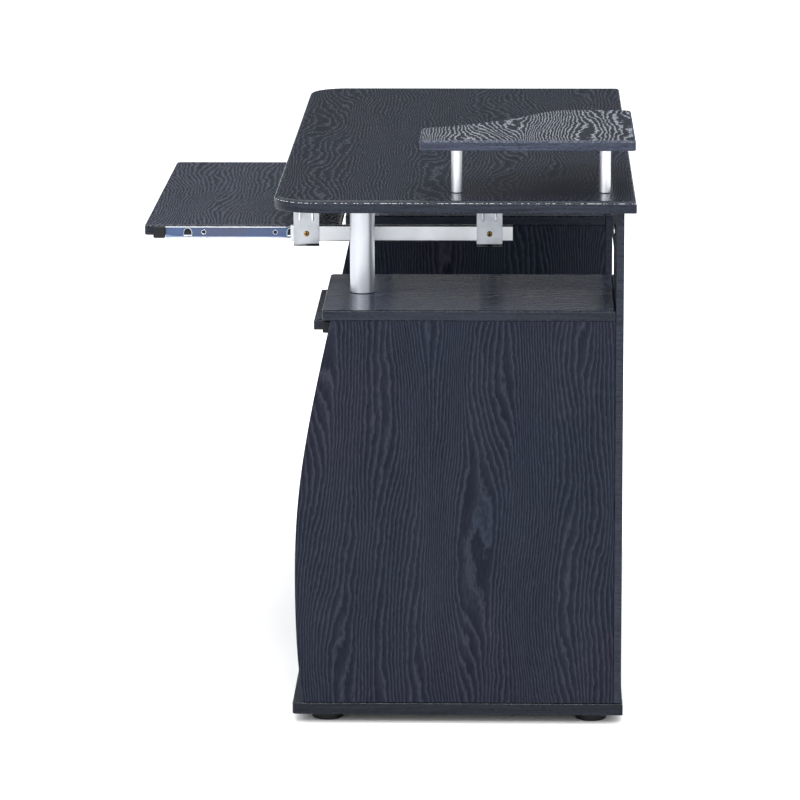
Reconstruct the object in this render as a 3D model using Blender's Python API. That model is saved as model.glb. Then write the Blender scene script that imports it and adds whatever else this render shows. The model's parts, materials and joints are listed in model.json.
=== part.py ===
"""Computer desk with a keyboard tray: two pedestals, a desktop on columns and back boards, a raised shelf on
posts, a keyboard tray hung on ball slides, and a pull-out board in the right pedestal.

The frame: +X to the sitter's right, +Y to the back, +Z up, floor at Z = 0, metres. The tray stands pulled
out. Y = 0 is halfway between the front of the tray and the back of the desktop.
"""

import math

import bmesh
import bpy
from mathutils import Vector
from mathutils.geometry import interpolate_bezier

# Whole desk
DESK_WIDTH = 1.200
DESK_DEPTH = 0.521
DESK_HEIGHT = 0.783
TRAY_REACH = 0.208  # how far the pulled-out tray stands in front of the desktop
DESK_FRONT = (TRAY_REACH - DESK_DEPTH) / 2
GAP = 0.0003  # between pieces that touch

# Boards
DESKTOP_THICK = 0.018
BOARD_THICK = 0.015
BASE_THICK = 0.0180
BACK_THICK = 0.0115
DESKTOP_CORNER = 0.062
SMALL_CORNER = 0.006
EDGE_ROUND = 0.002
PANEL_EDGE_ROUND = 0.0008
UNDERSIDE = DESK_HEIGHT - DESKTOP_THICK

# Pedestals, mirrored left and right. "Set back" is measured from the desktop's front edge.
PEDESTAL_INNER = 0.268
PEDESTAL_OUTER = 0.568
PEDESTAL_TOP = 0.618
TOP_SET_BACK = 0.069
PANEL_TOP_SET_BACK = 0.0814
PANEL_BULGE_SET_BACK = 0.0269
PANEL_FOOT_SET_BACK = 0.0386
PANEL_BULGE_HEIGHT = 0.2119
PANEL_REAR_SET_BACK = 0.4925
PANEL_TOP_RUN = 0.193  # length of the nearly straight run below the panel's top
PANEL_TOP_LEAN = 0.2277  # how far that run leans forwards for each metre down
PANEL_FOOT_RUN = 0.0144
PANEL_FOOT_LEAN = 0.179
PANEL_BULGE_RUN = 0.1225
BASE_SET_BACK = 0.0218
BASE_REAR_SET_BACK = 0.5070
GLIDE_HEIGHT = 0.0142
GLIDE_RADIUS = 0.0229
GLIDE_NECK = 0.0025  # how far its upper end stands in from its rim
GLIDE_CHAMFER = 0.0015
GLIDE_INSET = 0.041  # from the pedestal's side to a glide's centre
GLIDE_SET_BACKS = {"front": 0.0722, "rear": 0.4609}
BASE_TOP = GLIDE_HEIGHT + BASE_THICK
TOP_BOTTOM = PEDESTAL_TOP - BOARD_THICK
NOTCH_WIDTH = 0.117
NOTCH_TOP = 0.6780
FIXED_SHELF_HEIGHT = 0.300
FIXED_SHELF_SET_BACK = 0.070
MODESTY_BOTTOM = 0.150
MODESTY_TOP = 0.440
MODESTY_SET_BACK = 0.467

# Column between a pedestal and the desktop
COLUMN_RADIUS = 0.0182
COLUMN_WALL = 0.0015
COLUMN_SIDE = 0.417
COLUMN_SET_BACK = 0.1224

# Cam locks on the front of the back boards
CAM_RADIUS = 0.0075
CAM_HEIGHT = 0.003
CAM_CHAMFER = 0.0008
CAM_BELOW_DESKTOP = 0.035
CAM_INSET = 0.038

# Raised shelf
SHELF_TOP = 0.8652
SHELF_OUTER = 0.567
SHELF_INNER = 0.250
SHELF_FRONT_SET_BACK = 0.2102
SHELF_NOSE = 0.446  # the inner end of its front edge
SHELF_NOSE_LENGTH = 0.012
SHELF_NOSE_LEAN = 0.5  # how far its side leans inwards there for each metre back
SHELF_NOSE_HANDLE = 0.039
SHELF_MIDDLE_SIDE = 0.306  # the middle of the S of its inner edge
SHELF_MIDDLE_SET_BACK = 0.368
SHELF_MIDDLE_LEAN = 0.67  # how far back the S runs there for each metre inwards
SHELF_MIDDLE_HANDLES = (0.068, 0.038)  # towards the nose, and towards the back
SHELF_STRAIGHT_SET_BACK = 0.4345
SHELF_STRAIGHT_HANDLE = 0.031
SHELF_REAR_INSET = 0.001
POST_RADIUS = 0.008
POSTS = {"front": (0.520, 0.2629), "rear": (0.520, 0.4768), "inner_rear": (0.290, 0.4812)}

# Ball slides, shared by the tray and the pull-out board
SLIDE_WIDTH = 0.012
OUTER_RAIL_HALF = 0.0120
OUTER_RAIL_WIDTH = 0.011
INNER_RAIL_HALF = 0.0085
INNER_RAIL_WIDTH = 0.0062
RAIL_WALL = 0.0012
CAP_LENGTH = 0.0180
CAP_REACH = 0.0078
RETAINER_LENGTH = 0.080
RETAINER_HALF = 0.0099
RETAINER_WIDTH = 0.0040
RETAINER_WALL = 0.0008
RETAINER_REACH = 0.0092  # from the board's edge to the strip's web
D_HOLE_RADIUS = 0.0056  # of its round top, and the depth of its flat bottom below the rail's middle
D_HOLE_PLACES = (0.0332, 0.1881)  # along the sliding rail, from its front
SCREW_HOLE_RADIUS = 0.0028
SCREW_HOLE_PLACES = (0.0573, 0.1645)

# Keyboard tray
TRAY_HALF_WIDTH = 0.3110
TRAY_DEPTH = 0.2925
TRAY_TOP = 0.7000
TRAY_THICK = 0.016
TRAY_RAIL_HEIGHT = 0.6890
TRAY_RAIL_SET_BACK = 0.0117
TRAY_RAIL_LENGTH = 0.3317
TRAY_CAP_BEHIND_FRONT = 0.0135
TRAY_RETAINER_INSET = 0.030

# Brackets that hang the tray's slides from the desktop
BRACKET_THICK = 0.0015
BRACKET_LENGTH = 0.0382
BRACKET_CENTRES = {"front": 0.0355, "rear": 0.3089}
BRACKET_BOTTOM = 0.6693
BRACKET_FLANGE = 0.024
BRACKET_LIP = 0.006
BRACKET_BEND = 0.0040
FLANGE_BEND = 0.002
RIB_RADIUS = 0.0021
RIB_OFFSET = 0.0095
RIB_BOTTOM = 0.708
RIB_SUNK = 0.0002  # how far its axis lies under the bracket's face
RIB_TIP = ((0.7, 0.4), (1.0, 1.4))  # half width and height of its rounded end, in radii
SCREW_HEAD_RADIUS = 0.0042
SCREW_HEAD_HEIGHT = 0.0022
SCREW_CROWN = ((1.0, 0.35), (0.75, 0.8), (0.4, 1.0))  # shares of its head's radius and height
SCREW_SHANK_RADIUS = 0.0018
SCREW_CLEARANCE_RADIUS = 0.0022
CUTTER_REACH = 0.003  # how far a hole's cutter stands past the sheet

# Pull-out board in the right pedestal
PULL_OUT_SET_BACK = 0.0560
PULL_OUT_DEPTH = 0.400
PULL_OUT_HEIGHT = 0.5917  # of the board's middle
PULL_OUT_CAP_SET_BACK = 0.0690
PULL_OUT_RAIL_SET_BACK = 0.0900
PULL_OUT_RAIL_LENGTH = 0.336
PULL_OUT_RAIL_HEIGHT = 0.5895
PULL_OUT_RETAINER_INSET = 0.118

SIDES = {"right": 1, "left": -1}


def clear_scene():
    for old in list(bpy.data.objects):
        bpy.data.objects.remove(old)


def depth_at(set_back):
    """Y of a point that far behind the desktop's front edge."""
    return DESK_FRONT + set_back


def colour_material(name, colour, roughness, metallic):
    material = bpy.data.materials.new(name)
    material.use_nodes = True
    shader = material.node_tree.nodes["Principled BSDF"]
    shader.inputs["Base Color"].default_value = (*colour, 1.0)
    shader.inputs["Roughness"].default_value = roughness
    shader.inputs["Metallic"].default_value = metallic
    material.diffuse_color = (*colour, 1.0)
    return material


FINISHES = {
    "wood": ((0.045, 0.050, 0.066), 0.38, 0.0),
    "silver": ((0.70, 0.71, 0.73), 0.32, 1.0),
    "zinc": ((0.60, 0.62, 0.65), 0.38, 1.0),
    "blue_zinc": ((0.24, 0.30, 0.42), 0.35, 1.0),
    "brass": ((0.52, 0.34, 0.12), 0.30, 1.0),
    "plastic": ((0.012, 0.012, 0.014), 0.45, 0.0),
}


def add_piece(name, form, finish, parent=None):
    """A named object from a bmesh that is already in place, with its own material."""
    bmesh.ops.recalc_face_normals(form, faces=form.faces)
    mesh = bpy.data.meshes.new(name)
    form.to_mesh(mesh)
    form.free()
    centre = sum((corner.co for corner in mesh.vertices), Vector()) / len(mesh.vertices)
    for corner in mesh.vertices:
        corner.co -= centre
    mesh.materials.append(colour_material(name + "_finish", *FINISHES[finish]))
    piece = bpy.data.objects.new(name, mesh)
    bpy.context.scene.collection.objects.link(piece)
    piece.location = centre
    if parent is not None:
        piece.parent = parent
        piece.location = centre - parent.location
    return piece


def smooth(piece, angle=40):
    piece.data.shade_smooth()
    piece.data.set_sharp_from_angle(angle=math.radians(angle))


def round_edges(piece, width, segments=2):
    bevel = piece.modifiers.new("round_edges", "BEVEL")
    bevel.width = width
    bevel.segments = segments
    bevel.limit_method = "ANGLE"
    bevel.angle_limit = math.radians(40)
    smooth(piece)


def cut(piece, cutter, operation="DIFFERENCE"):
    """Cuts the cutter from the piece, or joins it on, and hides the cutter."""
    boolean = piece.modifiers.new("cut", "BOOLEAN")
    boolean.operation = operation
    boolean.solver = "EXACT"
    boolean.object = cutter
    cutter.hide_render = True
    cutter.display_type = "WIRE"


def prism(outline, plane, low, high):
    """A bmesh of the outline swept between low and high along the plane's normal."""
    place = {
        "XY": lambda a, b, c: (a, b, c),
        "XZ": lambda a, b, c: (a, c, b),
        "YZ": lambda a, b, c: (c, a, b),
    }[plane]
    form = bmesh.new()
    start = [form.verts.new(place(a, b, low)) for a, b in outline]
    face = form.faces.new(start)
    swept = bmesh.ops.extrude_face_region(form, geom=[face])["geom"]
    moved = [part for part in swept if isinstance(part, bmesh.types.BMVert)]
    bmesh.ops.translate(form, verts=moved, vec=place(0.0, 0.0, high - low))
    return form


def arc(centre, radius, start, end, steps):
    """Points along an arc between two angles in degrees, both ends included."""
    points = []
    for step in range(steps + 1):
        angle = math.radians(start + (end - start) * step / steps)
        points.append((centre[0] + radius * math.cos(angle), centre[1] + radius * math.sin(angle)))
    return points


def hole_outline(centre, radius):
    """The outline of a screw hole, a circle of 12 sides."""
    return arc(centre, radius, 0, 330, 11)


def bezier(first, first_handle, last_handle, last, steps):
    """Points along a Bezier curve, without its last point."""
    knots = [Vector((*point, 0.0)) for point in (first, first_handle, last_handle, last)]
    return [(point.x, point.y) for point in interpolate_bezier(*knots, steps + 1)[:-1]]


def rectangle(low, high):
    return [low, (high[0], low[1]), high, (low[0], high[1])]


def turned(profile, centre, axis, steps):
    """A bmesh turned about a line through centre. The profile is (radius, distance along the axis), and a
    radius of 0 closes an end."""
    across = Vector((0, 0, 1)) if abs(axis.z) < 0.5 else Vector((1, 0, 0))
    form = bmesh.new()
    rings = []
    for radius, along in profile:
        spot = centre + axis * along
        if radius == 0:
            rings.append([form.verts.new(spot)])
            continue
        ring = []
        for step in range(steps):
            angle = 2 * math.pi * step / steps
            side = across * math.cos(angle) + axis.cross(across) * math.sin(angle)
            ring.append(form.verts.new(spot + side * radius))
        rings.append(ring)
    closed = profile[0][0] > 0 and profile[-1][0] > 0
    pairs = list(zip(rings, rings[1:]))
    if closed:
        pairs.append((rings[-1], rings[0]))
    for near, far in pairs:
        for step in range(steps):
            after = (step + 1) % steps
            corners = [near[step % len(near)], near[after % len(near)]]
            corners += [far[after % len(far)], far[step % len(far)]]
            form.faces.new(list(dict.fromkeys(corners)))
    return form


def board(name, outline, plane, low, high, rounding=PANEL_EDGE_ROUND, parent=None):
    piece = add_piece(name, prism(outline, plane, low, high), "wood", parent)
    round_edges(piece, rounding)
    return piece


# ---------------------------------------------------------------- boards


def front_rounded(low, high, radius, steps):
    """Outline from above of a board whose two front corners are round."""
    outline = [high, (low[0], high[1])]
    outline += arc((low[0] + radius, low[1] + radius), radius, 180, 270, steps)
    outline += arc((high[0] - radius, low[1] + radius), radius, 270, 360, steps)
    return outline


def desktop():
    half = DESK_WIDTH / 2
    outline = front_rounded((-half, depth_at(0)), (half, depth_at(DESK_DEPTH)), DESKTOP_CORNER, 8)
    board("desktop", outline, "XY", UNDERSIDE, DESK_HEIGHT, EDGE_ROUND)


def raised_shelf():
    """Its inner edge runs from the nose of the short front edge to the wide back in an S."""
    front = depth_at(SHELF_FRONT_SET_BACK)
    back = depth_at(DESK_DEPTH - SHELF_REAR_INSET)
    radius = SMALL_CORNER
    rear_radius = 2 * SMALL_CORNER
    length = SHELF_NOSE_LENGTH
    nose_start = (SHELF_NOSE + length / 3, front)
    nose_end = (SHELF_NOSE - length * 5 / 6, front + length)
    nose_handle = (nose_end[0] + length / 2 * SHELF_NOSE_LEAN, front + length / 2)
    side_handle = (nose_end[0] - SHELF_NOSE_HANDLE * SHELF_NOSE_LEAN, nose_end[1] + SHELF_NOSE_HANDLE)
    middle = (SHELF_MIDDLE_SIDE, depth_at(SHELF_MIDDLE_SET_BACK))
    before, after = SHELF_MIDDLE_HANDLES
    before_middle = (middle[0] + before, middle[1] - before * SHELF_MIDDLE_LEAN)
    after_middle = (middle[0] - after, middle[1] + after * SHELF_MIDDLE_LEAN)
    flat_start = (SHELF_INNER, depth_at(SHELF_STRAIGHT_SET_BACK))
    flat_handle = (SHELF_INNER, flat_start[1] - SHELF_STRAIGHT_HANDLE)
    outline = arc((SHELF_INNER + rear_radius, back - rear_radius), rear_radius, 180, 90, 4)
    outline += arc((SHELF_OUTER - radius, back - radius), radius, 90, 0, 3)
    outline += arc((SHELF_OUTER - radius, front + radius), radius, 0, -90, 3)
    outline += bezier(nose_start, (SHELF_NOSE - length / 3, front), nose_handle, nose_end, 4)
    outline += bezier(nose_end, side_handle, before_middle, middle, 9)
    outline += bezier(middle, after_middle, flat_handle, flat_start, 7)
    outline.append(flat_start)
    board("raised_shelf", outline, "XY", SHELF_TOP - BOARD_THICK, SHELF_TOP, EDGE_ROUND)


def panel_outline():
    """Side view of a pedestal's side panel: straight at the top of its front edge, bulging lower down."""
    rear = depth_at(PANEL_REAR_SET_BACK)
    low = BASE_TOP + GAP
    high = TOP_BOTTOM - GAP
    top = (depth_at(PANEL_TOP_SET_BACK), high)
    bulge = (depth_at(PANEL_BULGE_SET_BACK), PANEL_BULGE_HEIGHT)
    foot = (depth_at(PANEL_FOOT_SET_BACK), low)
    below_top = (top[0] - PANEL_TOP_LEAN * PANEL_TOP_RUN, high - PANEL_TOP_RUN)
    above_foot = (foot[0] - PANEL_FOOT_LEAN * PANEL_FOOT_RUN, low + PANEL_FOOT_RUN)
    outline = [(rear, low), (rear, high)]
    outline += bezier(top, below_top, (bulge[0], bulge[1] + PANEL_BULGE_RUN), bulge, 12)
    outline += bezier(bulge, (bulge[0], bulge[1] - PANEL_BULGE_RUN), above_foot, foot, 8)
    outline.append(foot)
    return outline


def pedestal_boards(side, sign):
    inner = sign * PEDESTAL_INNER
    outer = sign * PEDESTAL_OUTER
    rear = depth_at(PANEL_REAR_SET_BACK)
    panel = panel_outline()
    board(f"{side}_outer_side_panel", panel, "YZ", outer - sign * BOARD_THICK, outer)
    board(f"{side}_inner_side_panel", panel, "YZ", inner, inner + sign * BOARD_THICK)

    low_x, high_x = sorted((inner, outer))
    outline = front_rounded((low_x, depth_at(TOP_SET_BACK)), (high_x, rear), SMALL_CORNER, 3)
    board(f"{side}_pedestal_top", outline, "XY", TOP_BOTTOM, PEDESTAL_TOP, EDGE_ROUND)
    base_low = (low_x, depth_at(BASE_SET_BACK))
    base_high = (high_x, depth_at(BASE_REAR_SET_BACK))
    outline = front_rounded(base_low, base_high, SMALL_CORNER, 3)
    board(f"{side}_base_board", outline, "XY", GLIDE_HEIGHT, BASE_TOP, EDGE_ROUND)

    low = BASE_TOP + GAP
    high = UNDERSIDE - GAP
    notch = inner + sign * NOTCH_WIDTH
    outline = [(inner, low), (outer, low), (outer, high), (inner, high)]
    outline += [(inner, NOTCH_TOP), (notch, NOTCH_TOP), (notch, PEDESTAL_TOP), (inner, PEDESTAL_TOP)]
    board(f"{side}_back_board", outline, "XZ", rear + GAP, rear + GAP + BACK_THICK)


def right_fixed_shelf():
    low = (PEDESTAL_INNER + BOARD_THICK + GAP, depth_at(FIXED_SHELF_SET_BACK))
    high = (PEDESTAL_OUTER - BOARD_THICK - GAP, depth_at(PANEL_REAR_SET_BACK))
    top = FIXED_SHELF_HEIGHT + BOARD_THICK
    board("right_fixed_shelf", rectangle(low, high), "XY", FIXED_SHELF_HEIGHT, top)


def modesty_panel():
    half = PEDESTAL_INNER - GAP
    front = depth_at(MODESTY_SET_BACK)
    outline = rectangle((-half, MODESTY_BOTTOM), (half, MODESTY_TOP))
    board("modesty_panel", outline, "XZ", front, front + BOARD_THICK)


# ---------------------------------------------------------------- supports


def column(side, sign):
    length = UNDERSIDE - PEDESTAL_TOP - 2 * GAP
    inner = COLUMN_RADIUS - COLUMN_WALL
    profile = [(COLUMN_RADIUS, 0), (COLUMN_RADIUS, length), (inner, length), (inner, 0)]
    centre = Vector((sign * COLUMN_SIDE, depth_at(COLUMN_SET_BACK), PEDESTAL_TOP + GAP))
    smooth(add_piece(f"{side}_column", turned(profile, centre, Vector((0, 0, 1)), 36), "silver"))


def shelf_posts():
    length = SHELF_TOP - BOARD_THICK - DESK_HEIGHT - 2 * GAP
    profile = [(0, 0), (POST_RADIUS, 0), (POST_RADIUS, length), (0, length)]
    for place, (side, set_back) in POSTS.items():
        centre = Vector((side, depth_at(set_back), DESK_HEIGHT + GAP))
        smooth(add_piece(f"shelf_post_{place}", turned(profile, centre, Vector((0, 0, 1)), 24), "silver"))


def glides(side, sign):
    height = GLIDE_HEIGHT - GAP
    neck = GLIDE_RADIUS - GLIDE_NECK
    shoulder = height - GLIDE_CHAMFER
    profile = [(0, 0), (GLIDE_RADIUS - GLIDE_CHAMFER, 0), (GLIDE_RADIUS, GLIDE_CHAMFER)]
    profile += [(GLIDE_RADIUS, shoulder - GLIDE_NECK), (neck, shoulder), (neck, height), (0, height)]
    places = {"outer": PEDESTAL_OUTER - GLIDE_INSET, "inner": PEDESTAL_INNER + GLIDE_INSET}
    for row, set_back in GLIDE_SET_BACKS.items():
        for place, reach in places.items():
            centre = Vector((sign * reach, depth_at(set_back), 0))
            form = turned(profile, centre, Vector((0, 0, 1)), 24)
            smooth(add_piece(f"{side}_{row}_{place}_glide", form, "plastic"))


def cam_locks(side, sign):
    profile = [(0, 0), (CAM_RADIUS, 0), (CAM_RADIUS, CAM_HEIGHT - CAM_CHAMFER),
               (CAM_RADIUS - CAM_CHAMFER, CAM_HEIGHT), (0, CAM_HEIGHT)]
    face = depth_at(PANEL_REAR_SET_BACK)
    places = {"outer": PEDESTAL_OUTER - CAM_INSET, "inner": PEDESTAL_INNER + CAM_INSET}
    for place, reach in places.items():
        centre = Vector((sign * reach, face, UNDERSIDE - CAM_BELOW_DESKTOP))
        form = turned(profile, centre, Vector((0, -1, 0)), 20)
        smooth(add_piece(f"{side}_{place}_cam_lock", form, "zinc"))


# ---------------------------------------------------------------- ball slides


def channel(web, opening, half_height, wall, middle):
    """Outline of a rail's section in X and Z: its web stands at web, and its flanges reach to opening."""
    inside = web + math.copysign(wall, opening - web)
    low = middle - half_height
    high = middle + half_height
    outline = [(web, low), (opening, low), (opening, low + wall), (inside, low + wall)]
    return outline + [(inside, high - wall), (opening, high - wall), (opening, high), (web, high)]


def hole_cutter(name, outline, low, high, parent=None):
    """A cutter that runs along X, from its outline in Y and Z."""
    return add_piece(name, prism(outline, "YZ", low, high), "zinc", parent)


def outer_rail(name, fixed_face, tray_face, front, length, middle):
    """The fixed rail: its web stands against what carries it, and it opens towards the board that slides."""
    opening = fixed_face + math.copysign(OUTER_RAIL_WIDTH, tray_face - fixed_face)
    outline = channel(fixed_face, opening, OUTER_RAIL_HALF, RAIL_WALL, middle)
    piece = add_piece(name, prism(outline, "XZ", front, front + length), "zinc")
    round_edges(piece, 0.0005, 1)
    return piece


def inner_rail(name, board_face, fixed_face, front, length, middle, parent):
    """The sliding rail: its web is screwed to the board's edge, and it has D holes and screw holes."""
    side = math.copysign(1.0, fixed_face - board_face)
    web = board_face + side * GAP
    outline = channel(web, web + side * INNER_RAIL_WIDTH, INNER_RAIL_HALF, RAIL_WALL, middle)
    piece = add_piece(name, prism(outline, "XZ", front, front + length), "blue_zinc", parent)
    round_edges(piece, 0.0003, 1)
    low, high = web - CUTTER_REACH, web + CUTTER_REACH
    for number, along in enumerate(D_HOLE_PLACES):
        centre_y = front + along
        bottom = middle - D_HOLE_RADIUS
        outline = arc((centre_y, middle), D_HOLE_RADIUS, 0, 180, 8)
        outline += [(centre_y - D_HOLE_RADIUS, bottom), (centre_y + D_HOLE_RADIUS, bottom)]
        cut(piece, hole_cutter(f"{name}_d_cutter_{number}", outline, low, high, parent))
    for number, along in enumerate(SCREW_HOLE_PLACES):
        outline = hole_outline((front + along, middle), SCREW_HOLE_RADIUS)
        cut(piece, hole_cutter(f"{name}_hole_cutter_{number}", outline, low, high, parent))


def rail_cap(name, board_face, fixed_face, front, middle, parent):
    """The black plastic stop on the sliding rail's front end."""
    side = math.copysign(1.0, fixed_face - board_face)
    outline = rectangle((front, middle - INNER_RAIL_HALF), (front + CAP_LENGTH, middle + INNER_RAIL_HALF))
    low, high = sorted((board_face + side * GAP, board_face + side * CAP_REACH))
    piece = add_piece(name, prism(outline, "YZ", low, high), "plastic", parent)
    round_edges(piece, 0.0015)
    return piece


def ball_retainer(name, board_face, fixed_face, front, middle, parent):
    """The strip between the rails that spaces the balls. It travels half as far as the sliding rail."""
    side = math.copysign(1.0, fixed_face - board_face)
    web = board_face + side * RETAINER_REACH
    outline = channel(web, web - side * RETAINER_WIDTH, RETAINER_HALF, RETAINER_WALL, middle)
    add_piece(name, prism(outline, "XZ", front, front + RETAINER_LENGTH), "zinc", parent)


# ---------------------------------------------------------------- keyboard tray


def strip_outline(path, thickness):
    """The outline of a sheet-metal strip whose middle follows the path."""
    left, right = [], []
    for number, point in enumerate(path):
        before = Vector(path[max(number - 1, 0)])
        after = Vector(path[min(number + 1, len(path) - 1)])
        along = (after - before).normalized()
        normal = Vector((-along.y, along.x)) * (thickness / 2)
        here = Vector(point)
        left.append(tuple(here + normal))
        right.append(tuple(here - normal))
    return left + right[::-1]


def bracket(name, sign, plate_face, centre_y):
    """A bent strip: a flange screwed under the desktop, a ribbed plate against the rail, and a lip curled
    under the rail."""
    middle = plate_face + BRACKET_THICK / 2
    top = UNDERSIDE - GAP - BRACKET_THICK / 2
    bottom = BRACKET_BOTTOM + BRACKET_THICK / 2
    bend = BRACKET_BEND
    path = [(middle + BRACKET_FLANGE, top)]
    path += arc((middle + FLANGE_BEND, top - FLANGE_BEND), FLANGE_BEND, 90, 180, 3)
    path += arc((middle - bend, bottom + bend), bend, 0, -90, 5)
    path.append((middle - bend - BRACKET_LIP, bottom))
    outline = [(sign * x, z) for x, z in strip_outline(path, BRACKET_THICK)]
    low, high = centre_y - BRACKET_LENGTH / 2, centre_y + BRACKET_LENGTH / 2
    piece = add_piece(name, prism(outline, "XZ", low, high), "zinc")
    face = plate_face + BRACKET_THICK
    length = top - RIB_BOTTOM
    profile = [(0, 0)]
    profile += [(RIB_RADIUS * wide, RIB_RADIUS * up) for wide, up in RIB_TIP]
    profile += [(RIB_RADIUS, length), (0, length)]
    for number, offset in enumerate((-RIB_OFFSET, RIB_OFFSET)):
        start = Vector((sign * (face - RIB_SUNK), centre_y + offset, RIB_BOTTOM))
        rib = add_piece(f"{name}_rib_{number}", turned(profile, start, Vector((0, 0, 1)), 10), "zinc")
        cut(piece, rib, "UNION")
    hole = hole_outline((centre_y, TRAY_RAIL_HEIGHT), SCREW_CLEARANCE_RADIUS)
    low, high = sign * face - CUTTER_REACH, sign * face + CUTTER_REACH
    cut(piece, hole_cutter(f"{name}_hole_cutter", hole, low, high))
    smooth(piece)


def bracket_screw(name, sign, plate_face, centre_y):
    """A brass pan-head screw through the bracket's plate and the outer rail's web."""
    face = plate_face + BRACKET_THICK + GAP
    shank = face - (TRAY_HALF_WIDTH + SLIDE_WIDTH - RAIL_WALL) - GAP
    head = SCREW_HEAD_RADIUS
    height = SCREW_HEAD_HEIGHT
    profile = [(0, -shank), (SCREW_SHANK_RADIUS, -shank), (SCREW_SHANK_RADIUS, 0), (head, 0)]
    profile += [(head * wide, height * up) for wide, up in SCREW_CROWN]
    profile.append((0, height))
    centre = Vector((sign * face, centre_y, TRAY_RAIL_HEIGHT))
    smooth(add_piece(name, turned(profile, centre, Vector((sign, 0, 0)), 16), "brass"))


def keyboard_tray():
    front = depth_at(-TRAY_REACH)
    back = front + TRAY_DEPTH
    slide = bpy.data.objects.new("keyboard_tray_slide", None)
    bpy.context.scene.collection.objects.link(slide)
    slide.location = (0, front, TRAY_RAIL_HEIGHT)
    half = TRAY_HALF_WIDTH
    outline = front_rounded((-half, front), (half, back), SMALL_CORNER, 4)
    board("keyboard_tray", outline, "XY", TRAY_TOP - TRAY_THICK, TRAY_TOP, EDGE_ROUND, slide)
    cap_front = front + TRAY_CAP_BEHIND_FRONT
    inner_front = cap_front + CAP_LENGTH + GAP
    for side, sign in SIDES.items():
        board_face = sign * half
        fixed_face = sign * (half + SLIDE_WIDTH)
        rail_front = depth_at(TRAY_RAIL_SET_BACK)
        retainer_front = rail_front + TRAY_RETAINER_INSET
        middle = TRAY_RAIL_HEIGHT
        length = TRAY_RAIL_LENGTH
        name = f"{side}_tray"
        rail = outer_rail(f"{name}_outer_rail", fixed_face, board_face, rail_front, length, middle)
        sliding = length - CAP_LENGTH
        inner_rail(f"{name}_inner_rail", board_face, fixed_face, inner_front, sliding, middle, slide)
        rail_cap(f"{name}_rail_cap", board_face, fixed_face, cap_front, middle, slide)
        ball_retainer(f"{name}_ball_retainer", board_face, fixed_face, retainer_front, middle, slide)
        plate_face = half + SLIDE_WIDTH + GAP
        for place, set_back in BRACKET_CENTRES.items():
            centre_y = depth_at(set_back)
            bracket(f"{side}_{place}_tray_bracket", sign, plate_face, centre_y)
            bracket_screw(f"{side}_{place}_bracket_screw", sign, plate_face, centre_y)
            hole = hole_outline((centre_y, TRAY_RAIL_HEIGHT), SCREW_CLEARANCE_RADIUS)
            low, high = fixed_face - CUTTER_REACH, fixed_face + CUTTER_REACH
            cut(rail, hole_cutter(f"{side}_{place}_rail_cutter", hole, low, high))


# ---------------------------------------------------------------- pull-out board


def pull_out_board():
    front = depth_at(PULL_OUT_SET_BACK)
    slide = bpy.data.objects.new("pull_out_slide", None)
    bpy.context.scene.collection.objects.link(slide)
    slide.location = ((PEDESTAL_INNER + PEDESTAL_OUTER) / 2, front, PULL_OUT_RAIL_HEIGHT)
    faces = {"inner": PEDESTAL_INNER + BOARD_THICK + GAP, "outer": PEDESTAL_OUTER - BOARD_THICK - GAP}
    edges = {"inner": faces["inner"] + SLIDE_WIDTH, "outer": faces["outer"] - SLIDE_WIDTH}
    outline = rectangle((edges["inner"], front), (edges["outer"], front + PULL_OUT_DEPTH))
    low = PULL_OUT_HEIGHT - BOARD_THICK / 2
    board("pull_out_board", outline, "XY", low, low + BOARD_THICK, EDGE_ROUND, slide)
    cap_front = depth_at(PULL_OUT_CAP_SET_BACK)
    inner_front = cap_front + CAP_LENGTH + GAP
    rail_front = depth_at(PULL_OUT_RAIL_SET_BACK)
    retainer_front = rail_front + PULL_OUT_RETAINER_INSET
    middle = PULL_OUT_RAIL_HEIGHT
    length = PULL_OUT_RAIL_LENGTH
    sliding = length - CAP_LENGTH
    for place, fixed_face in faces.items():
        edge = edges[place]
        name = f"pull_out_{place}"
        outer_rail(f"{name}_fixed_rail", fixed_face, edge, rail_front, length, middle)
        inner_rail(f"{name}_sliding_rail", edge, fixed_face, inner_front, sliding, middle, slide)
        rail_cap(f"{name}_rail_cap", edge, fixed_face, cap_front, middle, slide)
        ball_retainer(f"{name}_ball_retainer", edge, fixed_face, retainer_front, middle, slide)


clear_scene()
desktop()
raised_shelf()
shelf_posts()
for side_name, side_sign in SIDES.items():
    pedestal_boards(side_name, side_sign)
    column(side_name, side_sign)
    glides(side_name, side_sign)
    cam_locks(side_name, side_sign)
right_fixed_shelf()
modesty_panel()
keyboard_tray()
pull_out_board()
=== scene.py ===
"""The looks of the computer desk: finely rounded boards with embossed oak grain, satin tubes, plated slides
and brackets, brass screws and black plastic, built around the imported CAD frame. All sizes are in metres."""

import json
import math

import bmesh
import bpy
from mathutils import Matrix, Vector
from mathutils.geometry import interpolate_bezier

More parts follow.
